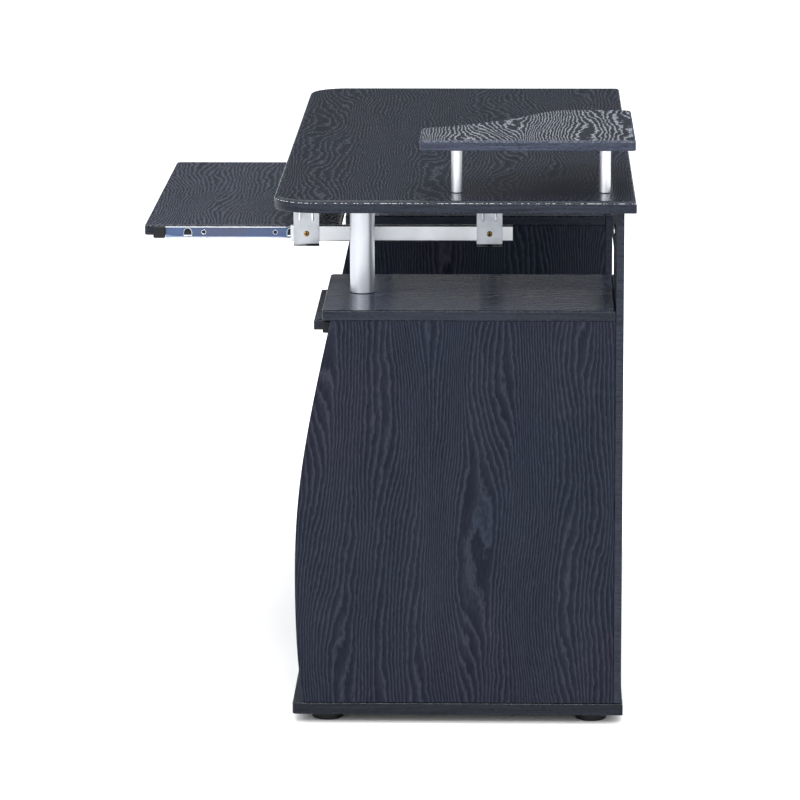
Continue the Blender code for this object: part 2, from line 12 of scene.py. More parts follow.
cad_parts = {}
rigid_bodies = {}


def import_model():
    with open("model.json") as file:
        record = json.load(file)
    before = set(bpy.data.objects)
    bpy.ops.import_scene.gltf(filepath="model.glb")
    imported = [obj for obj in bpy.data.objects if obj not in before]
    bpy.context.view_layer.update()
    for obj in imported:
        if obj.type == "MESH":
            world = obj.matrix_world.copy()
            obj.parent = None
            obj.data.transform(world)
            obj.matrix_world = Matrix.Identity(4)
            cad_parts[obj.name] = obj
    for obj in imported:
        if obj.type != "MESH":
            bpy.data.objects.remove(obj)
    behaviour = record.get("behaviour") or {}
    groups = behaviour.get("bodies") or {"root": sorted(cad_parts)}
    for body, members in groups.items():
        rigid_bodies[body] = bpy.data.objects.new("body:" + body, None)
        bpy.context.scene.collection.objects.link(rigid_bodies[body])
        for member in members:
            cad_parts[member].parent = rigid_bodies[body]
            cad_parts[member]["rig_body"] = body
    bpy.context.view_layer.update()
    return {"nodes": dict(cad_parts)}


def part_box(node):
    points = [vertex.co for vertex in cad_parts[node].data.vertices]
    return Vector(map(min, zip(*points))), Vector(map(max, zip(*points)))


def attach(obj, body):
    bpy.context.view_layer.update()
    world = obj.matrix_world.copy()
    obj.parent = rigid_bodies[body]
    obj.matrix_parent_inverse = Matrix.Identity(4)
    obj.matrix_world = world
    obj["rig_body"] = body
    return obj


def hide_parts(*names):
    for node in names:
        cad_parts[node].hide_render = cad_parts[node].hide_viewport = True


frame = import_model()

# Camera, fitted to the photograph's viewpoint: it looks along -X and down
CAMERA_PLACE = Vector((6.7405, 0.2024, 1.7779))
CAMERA_YAW = math.radians(-1.646)
CAMERA_PITCH = math.radians(11.813)
CAMERA_ROLL = math.radians(-0.168)
CAMERA_LENS = 196.15

# Rounding of board edges
DESKTOP_EDGE = 0.0064
TOP_EDGE = 0.0034
PEDESTAL_EDGE = 0.0026
LOW_EDGE = 0.0012
PANEL_EDGE = 0.0009
CORNER_EDGE = 0.0010
SHARP_TURN = 35  # degrees; a corner that turns more than this is rounded too

# Outlines, measured from each board's own box
DESKTOP_CORNER = 0.062
SMALL_CORNER = 0.006
PANEL_TOP_BEHIND_BULGE = 0.0545
PANEL_FOOT_BEHIND_BULGE = 0.0117
PANEL_BULGE_HEIGHT = 0.2119
PANEL_TOP_HANDLE = (0.0439, 0.193)  # forwards and down from the panel's top
PANEL_BULGE_HANDLE = 0.1225  # straight up and down from the bulge
PANEL_FOOT_HANDLE = (0.0026, 0.0144)  # forwards and up from the foot
NOTCH_WIDTH = 0.117
NOTCH_HEIGHT = 0.0600

# The raised shelf's nose, at the left end of its short front edge
SHELF_FRONT_LENGTH = 0.121
SHELF_NOSE_ROUNDING = 0.004
SHELF_NOSE_REACH = (0.010, 0.012)
SHELF_NOSE_HANDLE = (0.003, 0.006)

# The raised shelf's S-curve: to the right of and behind the front left corner of its box
SHELF_FRONT_HANDLES = ((0.167, 0.0508), (0.124, 0.1123))
SHELF_MIDDLE = (0.056, 0.1578)
SHELF_REAR_HANDLES = ((0.018, 0.1833), (0.0, 0.1933))
SHELF_STRAIGHT_START = (0.0, 0.2243)

# Tubes and posts
COLUMN_WALL = 0.0015
TUBE_CHAMFER = 0.0008

# Sliding rails: where the holes stand, from the rail's front
RAIL_WALL = 0.0012
OUTER_RAIL_BEND = 0.0022
INNER_RAIL_BEND = 0.0016
RAIL_SCREW_HOLE_RADIUS = 0.0022
D_HOLE_RADIUS = 0.0056
SCREW_HOLE_RADIUS = 0.0028
RIM_WIDTH = 0.0010
RIM_HEIGHT = 0.0003
D_HOLE_PLACES = (0.0332, 0.1881)
SCREW_HOLE_PLACES = (0.0573, 0.1645)
CAP_EDGE = 0.0012
CAP_CORNER = 0.0022

# Ball retainers
RETAINER_WALL = 0.0008
RETAINER_BEND = 0.0010
BALLS_IN_ROW = 8
BALL_RADIUS = 0.0008
BALL_START = 0.005
BALL_STEP = 0.010
BALL_INSET = 0.0012
BALL_LEVEL = 0.0094  # above and below the slide's middle

# Tray brackets, with two ribs pressed into each
BRACKET_SHEET = 0.0015
BRACKET_PLATE = 0.3233  # from the desk's middle to the plate's inner face
BRACKET_TOP_BEND = 0.002
BRACKET_LIP_BEND = 0.004
BRACKET_LIP_REACH = 0.010
BRACKET_HOLE_RADIUS = 0.0022
RIB_RADIUS = 0.0021
RIB_BOTTOM = 0.708
RIB_OFFSET = 0.0095
RIB_SUNK = 0.0006

# Screws
BRACKET_SCREW_SEAT = 0.3251  # from the desk's middle
SHANK_RADIUS = 0.0018
WOOD_SCREW_OFFSET = 0.012
WOOD_SCREW_BEYOND_PLATE = 0.014
WOOD_SCREW_RADIUS = 0.0036
WOOD_SCREW_HEIGHT = 0.0019
CUTTER_REACH = 0.003  # how far a hole's cutter stands past the sheet

SIDES = {"right": 1, "left": -1}
UP = Vector((0, 0, 1))

# The axes along, across and through the grain
GRAIN_AXES = {
    "x": ("X", "Y", "Z"),
    "y": ("Y", "X", "Z"),
    "z": ("Z", "Y", "X"),
    "z_back": ("Z", "X", "Y"),
    "x_back": ("X", "Z", "Y"),
}

# A board's material slots, after its grain in slot 0
BAND_SLOT = 1
UNDERSIDE_SLOT = 2
ROLLED_SLOT = 3


# ---------------------------------------------------------------- mesh helpers


def new_piece(name, form, *materials):
    """An object in the row frame from a bmesh, with its normals outward and its faces smooth."""
    bmesh.ops.recalc_face_normals(form, faces=form.faces)
    mesh = bpy.data.meshes.new(name)
    form.to_mesh(mesh)
    form.free()
    mesh.shade_smooth()
    for material in materials:
        mesh.materials.append(material)
    piece = bpy.data.objects.new(name, mesh)
    bpy.context.scene.collection.objects.link(piece)
    return piece


def stand_for(piece, node):
    """The piece rides on the CAD node's body and is shown in its place."""
    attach(piece, frame["nodes"][node]["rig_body"])
    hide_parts(node)
    return piece


def add_part(piece, body):
    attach(piece, body)
    return piece


def arc(centre, radius, start, end, steps):
    points = []
    for step in range(steps + 1):
        angle = math.radians(start + (end - start) * step / steps)
        points.append((centre[0] + radius * math.cos(angle), centre[1] + radius * math.sin(angle)))
    return points


def bezier(first, first_handle, last_handle, last, steps):
    """Points along a Bezier curve, without its last point."""
    knots = [Vector((*point, 0.0)) for point in (first, first_handle, last_handle, last)]
    return [(point.x, point.y) for point in interpolate_bezier(*knots, steps + 1)[:-1]]


def rectangle(low, high):
    return [low, (high[0], low[1]), high, (low[0], high[1])]


def across_to(axis):
    """A direction square to the axis, upright where it can be."""
    return UP if abs(axis.z) < 0.5 else Vector((1, 0, 0))


THICKNESS_AXES = {"XY": 2, "XZ": 1, "YZ": 0}
PLANES = {
    "XY": lambda a, b, c: (a, b, c),
    "XZ": lambda a, b, c: (a, c, b),
    "YZ": lambda a, b, c: (c, a, b),
}


def turn_at(outline, number):
    """How sharply the outline turns at one of its points, in degrees."""
    here = Vector(outline[number])
    before = here - Vector(outline[number - 1])
    after = Vector(outline[(number + 1) % len(outline)]) - here
    return math.degrees(abs(before.angle_signed(after, 0.0)))


def prism(outline, plane, low, high, wall_slot=0):
    """A prism with no bevel weights yet, and the rings of vertices at its two ends."""
    form = bmesh.new()
    form.edges.layers.float.new("bevel_weight_edge")
    rings = []
    for level in (low, high):
        rings.append([form.verts.new(PLANES[plane](a, b, level)) for a, b in outline])
    form.faces.new(rings[0])
    form.faces.new(rings[1])
    count = len(outline)
    for number in range(count):
        after = (number + 1) % count
        wall = form.faces.new((rings[0][number], rings[0][after], rings[1][after], rings[1][number]))
        wall.material_index = wall_slot
    return form, rings


def rounded_prism(outline, plane, low, high, low_edge, high_edge, corner_edge, wall_slot=0):
    """A prism whose edges carry bevel weights, and the bevel width that the weights are shares of."""
    form, rings = prism(outline, plane, low, high, wall_slot)
    weight = form.edges.layers.float["bevel_weight_edge"]
    width = max(low_edge, high_edge, corner_edge)
    count = len(outline)
    for ring, size in zip(rings, (low_edge, high_edge)):
        for number in range(count):
            edge = form.edges.get((ring[number], ring[(number + 1) % count]))
            edge[weight] = size / width
    for number in range(count):
        if turn_at(outline, number) > SHARP_TURN:
            form.edges.get((rings[0][number], rings[1][number]))[weight] = corner_edge / width
    return form, width


def round_and_weight(piece, width, segments, slot=0):
    bevel = piece.modifiers.new("rounding", "BEVEL")
    bevel.limit_method = "WEIGHT"
    bevel.width = width
    bevel.segments = segments
    bevel.use_clamp_overlap = True
    bevel.material = slot
    normals = piece.modifiers.new("flat_faces", "WEIGHTED_NORMAL")
    normals.keep_sharp = False
    normals.weight = 60


def board(node, outline, plane, grain, band_tone=1.0, high_edge=PANEL_EDGE, glint=0.0):
    """A board in place of the CAD one, with the same box and a plain band round its edge."""
    low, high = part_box(node)
    axis = THICKNESS_AXES[plane]
    low_edge = min(LOW_EDGE, high_edge)
    form, width = rounded_prism(outline, plane, low[axis], high[axis], low_edge, high_edge, CORNER_EDGE,
                                BAND_SLOT)
    piece = new_piece(node + "_finished", form, grain, edge_band("edge_band_" + node, band_tone))
    if plane == "XY":
        # The underside takes near black: painted shade under the board.
        piece.data.materials.append(SHADED_UNDERSIDE)
        piece.data.polygons[0].material_index = UNDERSIDE_SLOT
    if high_edge > PANEL_EDGE:
        piece.data.materials.append(rolled_edge("rolled_edge_" + node, band_tone, glint))
        round_and_weight(piece, width, 10, ROLLED_SLOT)
    else:
        round_and_weight(piece, width, 4)
    stand_for(piece, node)


def turned(profile, centre, axis, steps):
    """A bmesh turned about a line. The profile is (radius, distance along the axis), and radius 0 closes an
    end."""
    across = across_to(axis)
    form = bmesh.new()
    rings = []
    for radius, along in profile:
        spot = centre + axis * along
        if radius == 0:
            rings.append([form.verts.new(spot)])
            continue
        ring = []
        for step in range(steps):
            angle = 2 * math.pi * step / steps
            side = across * math.cos(angle) + axis.cross(across) * math.sin(angle)
            ring.append(form.verts.new(spot + side * radius))
        rings.append(ring)
    pairs = list(zip(rings, rings[1:]))
    if profile[0][0] > 0 and profile[-1][0] > 0:
        pairs.append((rings[-1], rings[0]))
    for near, far in pairs:
        for step in range(steps):
            after = (step + 1) % steps
            corners = [near[step % len(near)], near[after % len(near)]]
            corners += [far[after % len(far)], far[step % len(far)]]
            form.faces.new(list(dict.fromkeys(corners)))
    return form


def weight_normals(piece):
    normals = piece.modifiers.new("flat_faces", "WEIGHTED_NORMAL")
    normals.keep_sharp = False


def combine(piece, tools, operation):
    """Cuts the tools from the piece or joins them on, and removes them."""
    for tool in tools:
        boolean = piece.modifiers.new("shape", "BOOLEAN")
        boolean.operation = operation
        boolean.solver = "EXACT"
        boolean.material_mode = "TRANSFER"
        boolean.object = tool
    bpy.context.view_layer.update()
    graph = bpy.context.evaluated_depsgraph_get()
    shaped = bpy.data.meshes.new_from_object(piece.evaluated_get(graph))
    piece.modifiers.clear()
    piece.data = shaped
    for tool in tools:
        bpy.data.objects.remove(tool)


# ---------------------------------------------------------------- material helpers


class Graph:
    """A short way to add and link shader nodes."""

    def __init__(self, tree):
        self.tree = tree

    def node(self, kind, inputs=None, **settings):
        made = self.tree.nodes.new(kind)
        for name, value in settings.items():
            setattr(made, name, value)
        for name, value in (inputs or {}).items():
            self.set(made.inputs[name], value)
        return made

    def set(self, socket, value):
        if isinstance(value, bpy.types.NodeSocket):
            self.tree.links.new(value, socket)
        else:
            socket.default_value = value

    def math(self, operation, first, second=0.0, third=0.0, clamp=False):
        made = self.node("ShaderNodeMath", operation=operation, use_clamp=clamp)
        for socket, value in zip(made.inputs, (first, second, third)):
            self.set(socket, value)
        return made.outputs[0]

    def mix(self, share, first, second):
        made = self.node("ShaderNodeMix", data_type="RGBA")
        self.set(made.inputs[0], share)
        self.set(made.inputs[6], first)
        self.set(made.inputs[7], second)
        return made.outputs[2]

    def scaled(self, vector, scale):
        made = self.node("ShaderNodeVectorMath", operation="MULTIPLY")
        self.set(made.inputs[0], vector)
        self.set(made.inputs[1], scale)
        return made.outputs[0]

    def noise(self, vector, detail, roughness=0.5):
        made = self.node("ShaderNodeTexNoise", {"Vector": vector, "Scale": 1.0, "Detail": detail,
                                                "Roughness": roughness})
        return made.outputs["Fac"]

    def ramp(self, share, stops):
        made = self.node("ShaderNodeValToRGB", {"Fac": share})
        stops_made = made.color_ramp.elements
        while len(stops_made) < len(stops):
            stops_made.new(0.5)
        for stop, (place, colour) in zip(stops_made, stops):
            stop.position = place
            stop.color = (*colour, 1.0) if isinstance(colour, tuple) else (colour, colour, colour, 1.0)
        return made.outputs["Color"]

    def bump(self, height, strength, distance):
        made = self.node("ShaderNodeBump", {"Height": height, "Strength": strength, "Distance": distance})
        return made.outputs["Normal"]


def new_material(name):
    """A material, its graph and its shader."""
    material = bpy.data.materials.new(name)
    material.use_nodes = True
    shader = material.node_tree.nodes["Principled BSDF"]
    return material, Graph(material.node_tree), shader


def oak_grain_group():
    """Growth-ring lines of plain-sawn oak. Its vector runs along the grain in X and across it in Y."""
    tree = bpy.data.node_groups.new("oak_grain", "ShaderNodeTree")
    tree.interface.new_socket("Vector", in_out="INPUT", socket_type="NodeSocketVector")
    tree.interface.new_socket("Ragged", in_out="INPUT", socket_type="NodeSocketFloat")
    for name in ("Line", "Height", "Patch", "Tint", "Fibre"):
        tree.interface.new_socket(name, in_out="OUTPUT", socket_type="NodeSocketFloat")
    graph = Graph(tree)
    given = graph.node("NodeGroupInput").outputs
    vector = given["Vector"]
    out = graph.node("NodeGroupOutput")
    across = graph.node("ShaderNodeSeparateXYZ", {"Vector": vector}).outputs["Y"]
    rings = graph.math("MULTIPLY", across, 165.0)
    slow = graph.noise(graph.scaled(vector, (2.3, 11.0, 11.0)), 1.0)
    wavy = graph.noise(graph.scaled(vector, (24.0, 46.0, 46.0)), 1.0)
    rough = graph.noise(graph.scaled(vector, (95.0, 260.0, 260.0)), 2.0)
    ragged = graph.math("MULTIPLY_ADD", wavy, 1.6, graph.math("MULTIPLY", rough, 1.05))
    rings = graph.math("MULTIPLY_ADD", slow, 19.0, rings)
    rings = graph.math("MULTIPLY_ADD", ragged, given["Ragged"], rings)
    phase = graph.math("FRACT", rings)
    line = graph.ramp(phase, [(0.0, 0.15), (0.22, 0.38), (0.38, 1.0), (0.50, 0.62), (0.66, 0.0), (1.0, 0.15)])
    fibre = graph.noise(graph.scaled(vector, (60.0, 520.0, 520.0)), 2.0, 0.7)
    patch = graph.noise(graph.scaled(vector, (5.0, 30.0, 30.0)), 3.0, 0.6)
    tint = graph.noise(graph.scaled(vector, (3.0, 5.0, 5.0)), 2.0)
    height = graph.math("ADD", graph.math("MULTIPLY", line, 0.85), graph.math("MULTIPLY", fibre, 0.35))
    graph.set(out.inputs["Line"], line)
    graph.set(out.inputs["Height"], height)
    graph.set(out.inputs["Patch"], patch)
    graph.set(out.inputs["Fibre"], fibre)
    graph.set(out.inputs["Tint"], graph.ramp(tint, [(0.38, 0.0), (0.62, 1.0)]))
    return tree


OAK_GRAIN = oak_grain_group()
OAK_DARK = (0.0039, 0.0048, 0.0085)
OAK_TEAL = (0.0185, 0.0246, 0.0339)
OAK_PURPLE = (0.0254, 0.0246, 0.0362)
EDGE_DARK = (0.0069, 0.0085, 0.0131)
EDGE_LIGHT = (0.0225, 0.0268, 0.0405)
# Painted highlight: the pale grey of the dashes along a board's rounded edge.
PAINTED_GLINT = (0.46, 0.47, 0.49)
TOP_BLUE = (0.0150, 0.0235, 0.0430)
TOP_GREY = (0.0210, 0.0245, 0.0440)
# Painted highlight: pale grain lines for the raised shelf, standing in for light glinting on its embossed
# ridges.
SHELF_GLINT_COOL = (0.150, 0.166, 0.190)
SHELF_GLINT_WARM = (0.176, 0.178, 0.192)
COOL_GLOSS = (0.60, 0.68, 1.0, 1.0)
# Painted shade: the faces of a board that look down are darkened to near black, over the stops below.
UNDERSIDE_PAINTED_SHADE = (0.002, 0.002, 0.003)
UNDERSIDE_SHADE_STOPS = [(0.08, 1.0), (0.30, 0.0)]


def toned(colour, tone):
    return (*(tone * part for part in colour), 1.0)


def paint_light_by_facing(material, axis, stops, colour, metallic=None):
    """Paints another colour, as painted shade or painted highlight, on the faces that look a certain way. The
    stops run from 0, for a face that looks against the axis, to 1, for one that looks along it."""
    graph = Graph(material.node_tree)
    socket = material.node_tree.nodes["Principled BSDF"].inputs["Base Color"]
    normal = graph.node("ShaderNodeTexCoord").outputs["Normal"]
    part = graph.node("ShaderNodeSeparateXYZ", {"Vector": normal}).outputs[axis]
    share = graph.ramp(graph.math("MULTIPLY_ADD", part, 0.5, 0.5), stops)
    graph.set(socket, graph.mix(share, socket.links[0].from_socket, (*colour, 1.0)))
    if metallic is not None:
        metallic_socket = material.node_tree.nodes["Principled BSDF"].inputs["Metallic"]
        plain = metallic_socket.default_value
        graph.set(metallic_socket, graph.math("MULTIPLY_ADD", share, metallic - plain, plain))
    return material


def oak(name, axes, seed, tone=1.0, contrast=0.7, gloss=0.30, shine=0.09, relief=0.35, ring_scale=1.0,
        lines=(OAK_TEAL, OAK_PURPLE), cover=0.15, ragged=1.0):
    """Black oak laminate: the grain runs along the first of the axes."""
    material, graph, shader = new_material(name)
    place = graph.node("ShaderNodeTexCoord").outputs["Object"]
    parts = graph.node("ShaderNodeSeparateXYZ", {"Vector": place}).outputs
    turned_parts = graph.node("ShaderNodeCombineXYZ")
    for number, axis in enumerate(GRAIN_AXES[axes]):
        graph.set(turned_parts.inputs[number], graph.math("ADD", parts[axis], 0.37 * seed * (number + 1)))
    grain = graph.node("ShaderNodeGroup", node_tree=OAK_GRAIN)
    graph.set(grain.inputs["Vector"], graph.scaled(turned_parts.outputs[0], (1.0, ring_scale, ring_scale)))
    grain.inputs["Ragged"].default_value = ragged
    spread = graph.math("SUBTRACT", grain.outputs["Line"], 0.33)
    share = graph.math("ADD", graph.math("MULTIPLY", spread, contrast), cover)
    share = graph.math("MULTIPLY_ADD", grain.outputs["Patch"], 0.36, share)
    share = graph.math("SUBTRACT", share, 0.25)
    share = graph.math("MULTIPLY_ADD", grain.outputs["Fibre"], 0.50, share, clamp=True)
    light = graph.mix(grain.outputs["Tint"], toned(lines[0], tone), toned(lines[1], tone))
    graph.set(shader.inputs["Base Color"], graph.mix(share, toned(OAK_DARK, min(tone, 1.2)), light))
    rough = graph.math("ADD", graph.math("MULTIPLY", grain.outputs["Line"], 0.12), gloss)
    graph.set(shader.inputs["Roughness"], rough)
    shader.inputs["Specular IOR Level"].default_value = shine
    shader.inputs["Specular Tint"].default_value = COOL_GLOSS
    graph.set(shader.inputs["Normal"], graph.bump(grain.outputs["Height"], relief, 0.0004))
    # Painted shade: the grain's faces that look down are darkened to near black.
    return paint_light_by_facing(material, "Z", UNDERSIDE_SHADE_STOPS, UNDERSIDE_PAINTED_SHADE)


def edge_band(name, tone):
    """The black band on a board's edge, with faint streaks along the board."""
    material, graph, shader = new_material(name)
    place = graph.node("ShaderNodeTexCoord").outputs["Object"]
    streak = graph.noise(graph.scaled(place, (11.0, 11.0, 330.0)), 3.0, 0.6)
    fleck = graph.noise(graph.scaled(place, (160.0, 160.0, 700.0)), 2.0)
    mixed = graph.math("MULTIPLY_ADD", fleck, 0.45, graph.math("MULTIPLY", streak, 0.55))
    share = graph.ramp(mixed, [(0.38, 0.0), (0.62, 1.0)])
    graph.set(shader.inputs["Base Color"], graph.mix(share, toned(EDGE_DARK, tone), toned(EDGE_LIGHT, tone)))
    graph.set(shader.inputs["Roughness"], graph.math("MULTIPLY_ADD", streak, 0.12, 0.28))
    shader.inputs["Specular IOR Level"].default_value = 0.12
    graph.set(shader.inputs["Normal"], graph.bump(mixed, 0.08, 0.0002))
    # Painted shade: the band's faces that look down are darkened to near black.
    return paint_light_by_facing(material, "Z", UNDERSIDE_SHADE_STOPS, UNDERSIDE_PAINTED_SHADE)


def rolled_edge(name, tone, glint):
    """The rounding above a board's edge band, with a row of bright dashes painted along it as a painted
    highlight.
    """
    material, graph, shader = new_material(name)
    coordinates = graph.node("ShaderNodeTexCoord").outputs
    lift = graph.node("ShaderNodeSeparateXYZ", {"Vector": coordinates["Normal"]}).outputs["Z"]
    # Painted highlight: a band of the rounding, picked by how far it faces up, gets bright dashes as strong
    # as glint.
    row = graph.ramp(lift, [(0.37, 0.0), (0.40, glint), (0.46, glint), (0.49, 0.0)])
    speck = graph.noise(graph.scaled(coordinates["Object"], (300.0, 300.0, 20.0)), 0.0)
    patch = graph.noise(graph.scaled(coordinates["Object"], (20.0, 20.0, 20.0)), 1.0)
    dashes = graph.ramp(graph.math("MULTIPLY_ADD", patch, 0.35, graph.math("MULTIPLY", speck, 0.65)),
                        [(0.505, 0.0), (0.53, 1.0)])
    fleck = graph.ramp(graph.noise(graph.scaled(coordinates["Object"], (260.0, 260.0, 500.0)), 2.0),
                       [(0.4, 0.0), (0.65, 1.0)])
    plain = graph.mix(fleck, toned(EDGE_DARK, tone), toned(EDGE_LIGHT, tone))
    glint_dashes = graph.math("MULTIPLY", row, dashes)
    graph.set(shader.inputs["Base Color"], graph.mix(glint_dashes, plain, (*PAINTED_GLINT, 1.0)))
    graph.set(shader.inputs["Roughness"], graph.math("MULTIPLY_ADD", fleck, 0.12, 0.22))
    shader.inputs["Specular IOR Level"].default_value = 0.15
    return material


def metal(name, colour, roughness, streaks, tint=None, spread=0.05, slow_scale=9.0, metallic=1.0):
    """Satin metal with fine streaks along the given scale, and a slow change of tint."""
    material, graph, shader = new_material(name)
    place = graph.node("ShaderNodeTexCoord").outputs["Object"]
    fine = graph.noise(graph.scaled(place, streaks), 3.0, 0.6)
    slow = graph.noise(graph.scaled(place, (slow_scale, slow_scale, slow_scale)), 2.0)
    change = graph.ramp(slow, [(0.38, 0.0), (0.62, 1.0)])
    face = graph.mix(change, (*colour, 1.0), toned(tint, 1.0) if tint else toned(colour, 0.86))
    graph.set(shader.inputs["Base Color"], face)
    shader.inputs["Metallic"].default_value = metallic
    rough = graph.math("ADD", graph.math("MULTIPLY", fine, 2 * spread), roughness - spread)
    graph.set(shader.inputs["Roughness"], rough)
    graph.set(shader.inputs["Normal"], graph.bump(fine, 0.06, 0.0002))
    return material


def shaded_underside():
    """Satin near black on the underside of a board, as painted shade under the board."""
    material, graph, shader = new_material("shaded_underside")
    place = graph.node("ShaderNodeTexCoord").outputs["Object"]
    mottle = graph.noise(graph.scaled(place, (400.0, 400.0, 400.0)), 3.0, 0.6)
    face = graph.mix(mottle, toned(UNDERSIDE_PAINTED_SHADE, 1.0), toned(UNDERSIDE_PAINTED_SHADE, 3.0))
    graph.set(shader.inputs["Base Color"], face)
    graph.set(shader.inputs["Roughness"], graph.math("MULTIPLY_ADD", mottle, 0.15, 0.22))
    shader.inputs["Specular IOR Level"].default_value = 0.15
    return material


def moulded_plastic(name, colour):
    material, graph, shader = new_material(name)
    place = graph.node("ShaderNodeTexCoord").outputs["Object"]
    grit = graph.noise(graph.scaled(place, (1800.0, 1800.0, 1800.0)), 2.0)
    graph.set(shader.inputs["Base Color"], graph.mix(grit, toned(colour, 1.0), toned(colour, 1.6)))
    graph.set(shader.inputs["Roughness"], graph.math("ADD", graph.math("MULTIPLY", grit, 0.15), 0.40))
    shader.inputs["Specular IOR Level"].default_value = 0.2
    graph.set(shader.inputs["Normal"], graph.bump(grit, 0.15, 0.0001))
    return material


SHADED_UNDERSIDE = shaded_underside()
SILVER = metal("silver_satin", (0.565, 0.59, 0.63), 0.36, (420.0, 420.0, 10.0), spread=0.06, metallic=0.80)
POLISHED = metal("silver_polished", (0.74, 0.75, 0.77), 0.40, (500.0, 500.0, 14.0), tint=(0.71, 0.72, 0.75),
                 spread=0.03)
ZINC = metal("zinc_plate", (0.56, 0.575, 0.595), 0.36, (240.0, 240.0, 240.0), slow_scale=20.0)
BRACKET_ZINC = metal("bracket_zinc", (0.37, 0.382, 0.402), 0.30, (240.0, 240.0, 240.0),
                     tint=(0.24, 0.255, 0.285), slow_scale=26.0)
# Painted shade: the faces of the curled lip that look down are painted near black and not metallic.
paint_light_by_facing(BRACKET_ZINC, "Z", [(0.38, 1.0), (0.43, 0.0)], (0.012, 0.012, 0.016), 0.0)
# Painted highlight: the ribs take a much paler zinc than the bracket, standing in for the light their rounds
# catch.
RIB_HIGHLIGHT_ZINC = metal("rib_zinc_painted_highlight", (0.80, 0.81, 0.83), 0.46, (240.0, 240.0, 240.0))
BLUE_ZINC = metal("blue_zinc_plate", (0.062, 0.090, 0.165), 0.30, (300.0, 16.0, 300.0),
                  tint=(0.078, 0.078, 0.112))
# Painted highlight: the inner rail's faces that look up, its top flange and bend, are painted pale silver.
paint_light_by_facing(BLUE_ZINC, "Z", [(0.72, 0.0), (0.85, 1.0)], (0.80, 0.82, 0.85))
BRASS = metal("brass", (0.33, 0.21, 0.07), 0.24, (700.0, 700.0, 700.0))
STEEL = metal("bright_steel", (0.70, 0.72, 0.76), 0.16, (500.0, 500.0, 500.0))
BLACK = moulded_plastic("black_plastic", (0.0045, 0.0045, 0.0055))


# ---------------------------------------------------------------- boards


def front_rounded(node, radius, steps):
    """The outline from above of a board whose two front corners are round."""
    low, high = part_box(node)
    outline = [(high.x, high.y), (low.x, high.y)]
    outline += arc((low.x + radius, low.y + radius), radius, 180, 270, steps)
    outline += arc((high.x - radius, low.y + radius), radius, 270, 360, steps)
    return outline


def desktop():
    outline = front_rounded("desktop", DESKTOP_CORNER, 24)
    grain = oak("oak_desktop", "x", 1, tone=1.05, contrast=1.1, gloss=0.17, shine=0.17, relief=0.22)
    board("desktop", outline, "XY", grain, band_tone=0.85, high_edge=DESKTOP_EDGE, glint=0.85)


def keyboard_tray():
    outline = front_rounded("keyboard_tray", SMALL_CORNER, 8)
    grain = oak("oak_tray", "x", 2, tone=1.75, contrast=1.1, gloss=0.24, shine=0.16)
    board("keyboard_tray", outline, "XY", grain, high_edge=TOP_EDGE, glint=0.5)


def raised_shelf():
    """A short front edge, and an inner edge that runs back to the wide part in an S."""
    low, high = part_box("raised_shelf")

    def behind_corner(place):
        return (low.x + place[0], low.y + place[1])

    nose = high.x - SHELF_FRONT_LENGTH
    nose_start = (nose + SHELF_NOSE_ROUNDING, low.y)
    nose_end = (nose - SHELF_NOSE_REACH[0], low.y + SHELF_NOSE_REACH[1])
    nose_handle = (nose_end[0] + SHELF_NOSE_HANDLE[0], low.y + SHELF_NOSE_HANDLE[1])
    middle = behind_corner(SHELF_MIDDLE)
    straight_start = behind_corner(SHELF_STRAIGHT_START)
    rear_corner = 2 * SMALL_CORNER
    outline = arc((low.x + rear_corner, high.y - rear_corner), rear_corner, 180, 90, 8)
    outline += arc((high.x - SMALL_CORNER, high.y - SMALL_CORNER), SMALL_CORNER, 90, 0, 6)
    outline += arc((high.x - SMALL_CORNER, low.y + SMALL_CORNER), SMALL_CORNER, 0, -90, 6)
    outline += bezier(nose_start, (nose - SHELF_NOSE_ROUNDING, low.y), nose_handle, nose_end, 8)
    outline += bezier(nose_end, *map(behind_corner, SHELF_FRONT_HANDLES), middle, 24)
    outline += bezier(middle, *map(behind_corner, SHELF_REAR_HANDLES), straight_start, 18)
    outline.append(straight_start)
    # Painted highlight: the shelf's pale, high-contrast grain lines stand in for light glinting on the
    # embossed ridges.
    grain = oak("oak_raised_shelf", "x", 3, tone=0.96, contrast=2.0, gloss=0.34, shine=0.10,
                lines=(SHELF_GLINT_COOL, SHELF_GLINT_WARM), cover=-0.05)
    board("raised_shelf", outline, "XY", grain, band_tone=2.0, high_edge=TOP_EDGE, glint=0.5)


def side_panel(node, seed):
    """Its front edge leans forwards from the top, bulges, and turns back to the foot."""
    low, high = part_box(node)
    top = (low.y + PANEL_TOP_BEHIND_BULGE, high.z)
    bulge = (low.y, PANEL_BULGE_HEIGHT)
    foot = (low.y + PANEL_FOOT_BEHIND_BULGE, low.z)
    outline = [(high.y, low.z), (high.y, high.z)]
    top_handle = (top[0] - PANEL_TOP_HANDLE[0], top[1] - PANEL_TOP_HANDLE[1])
    foot_handle = (foot[0] - PANEL_FOOT_HANDLE[0], foot[1] + PANEL_FOOT_HANDLE[1])
    outline += bezier(top, top_handle, (bulge[0], bulge[1] + PANEL_BULGE_HANDLE), bulge, 36)
    outline += bezier(bulge, (bulge[0], bulge[1] - PANEL_BULGE_HANDLE), foot_handle, foot, 24)
    outline.append(foot)
    board(node, outline, "YZ", oak("oak_" + node, "z", seed, tone=1.12, contrast=0.75, ragged=0.65))


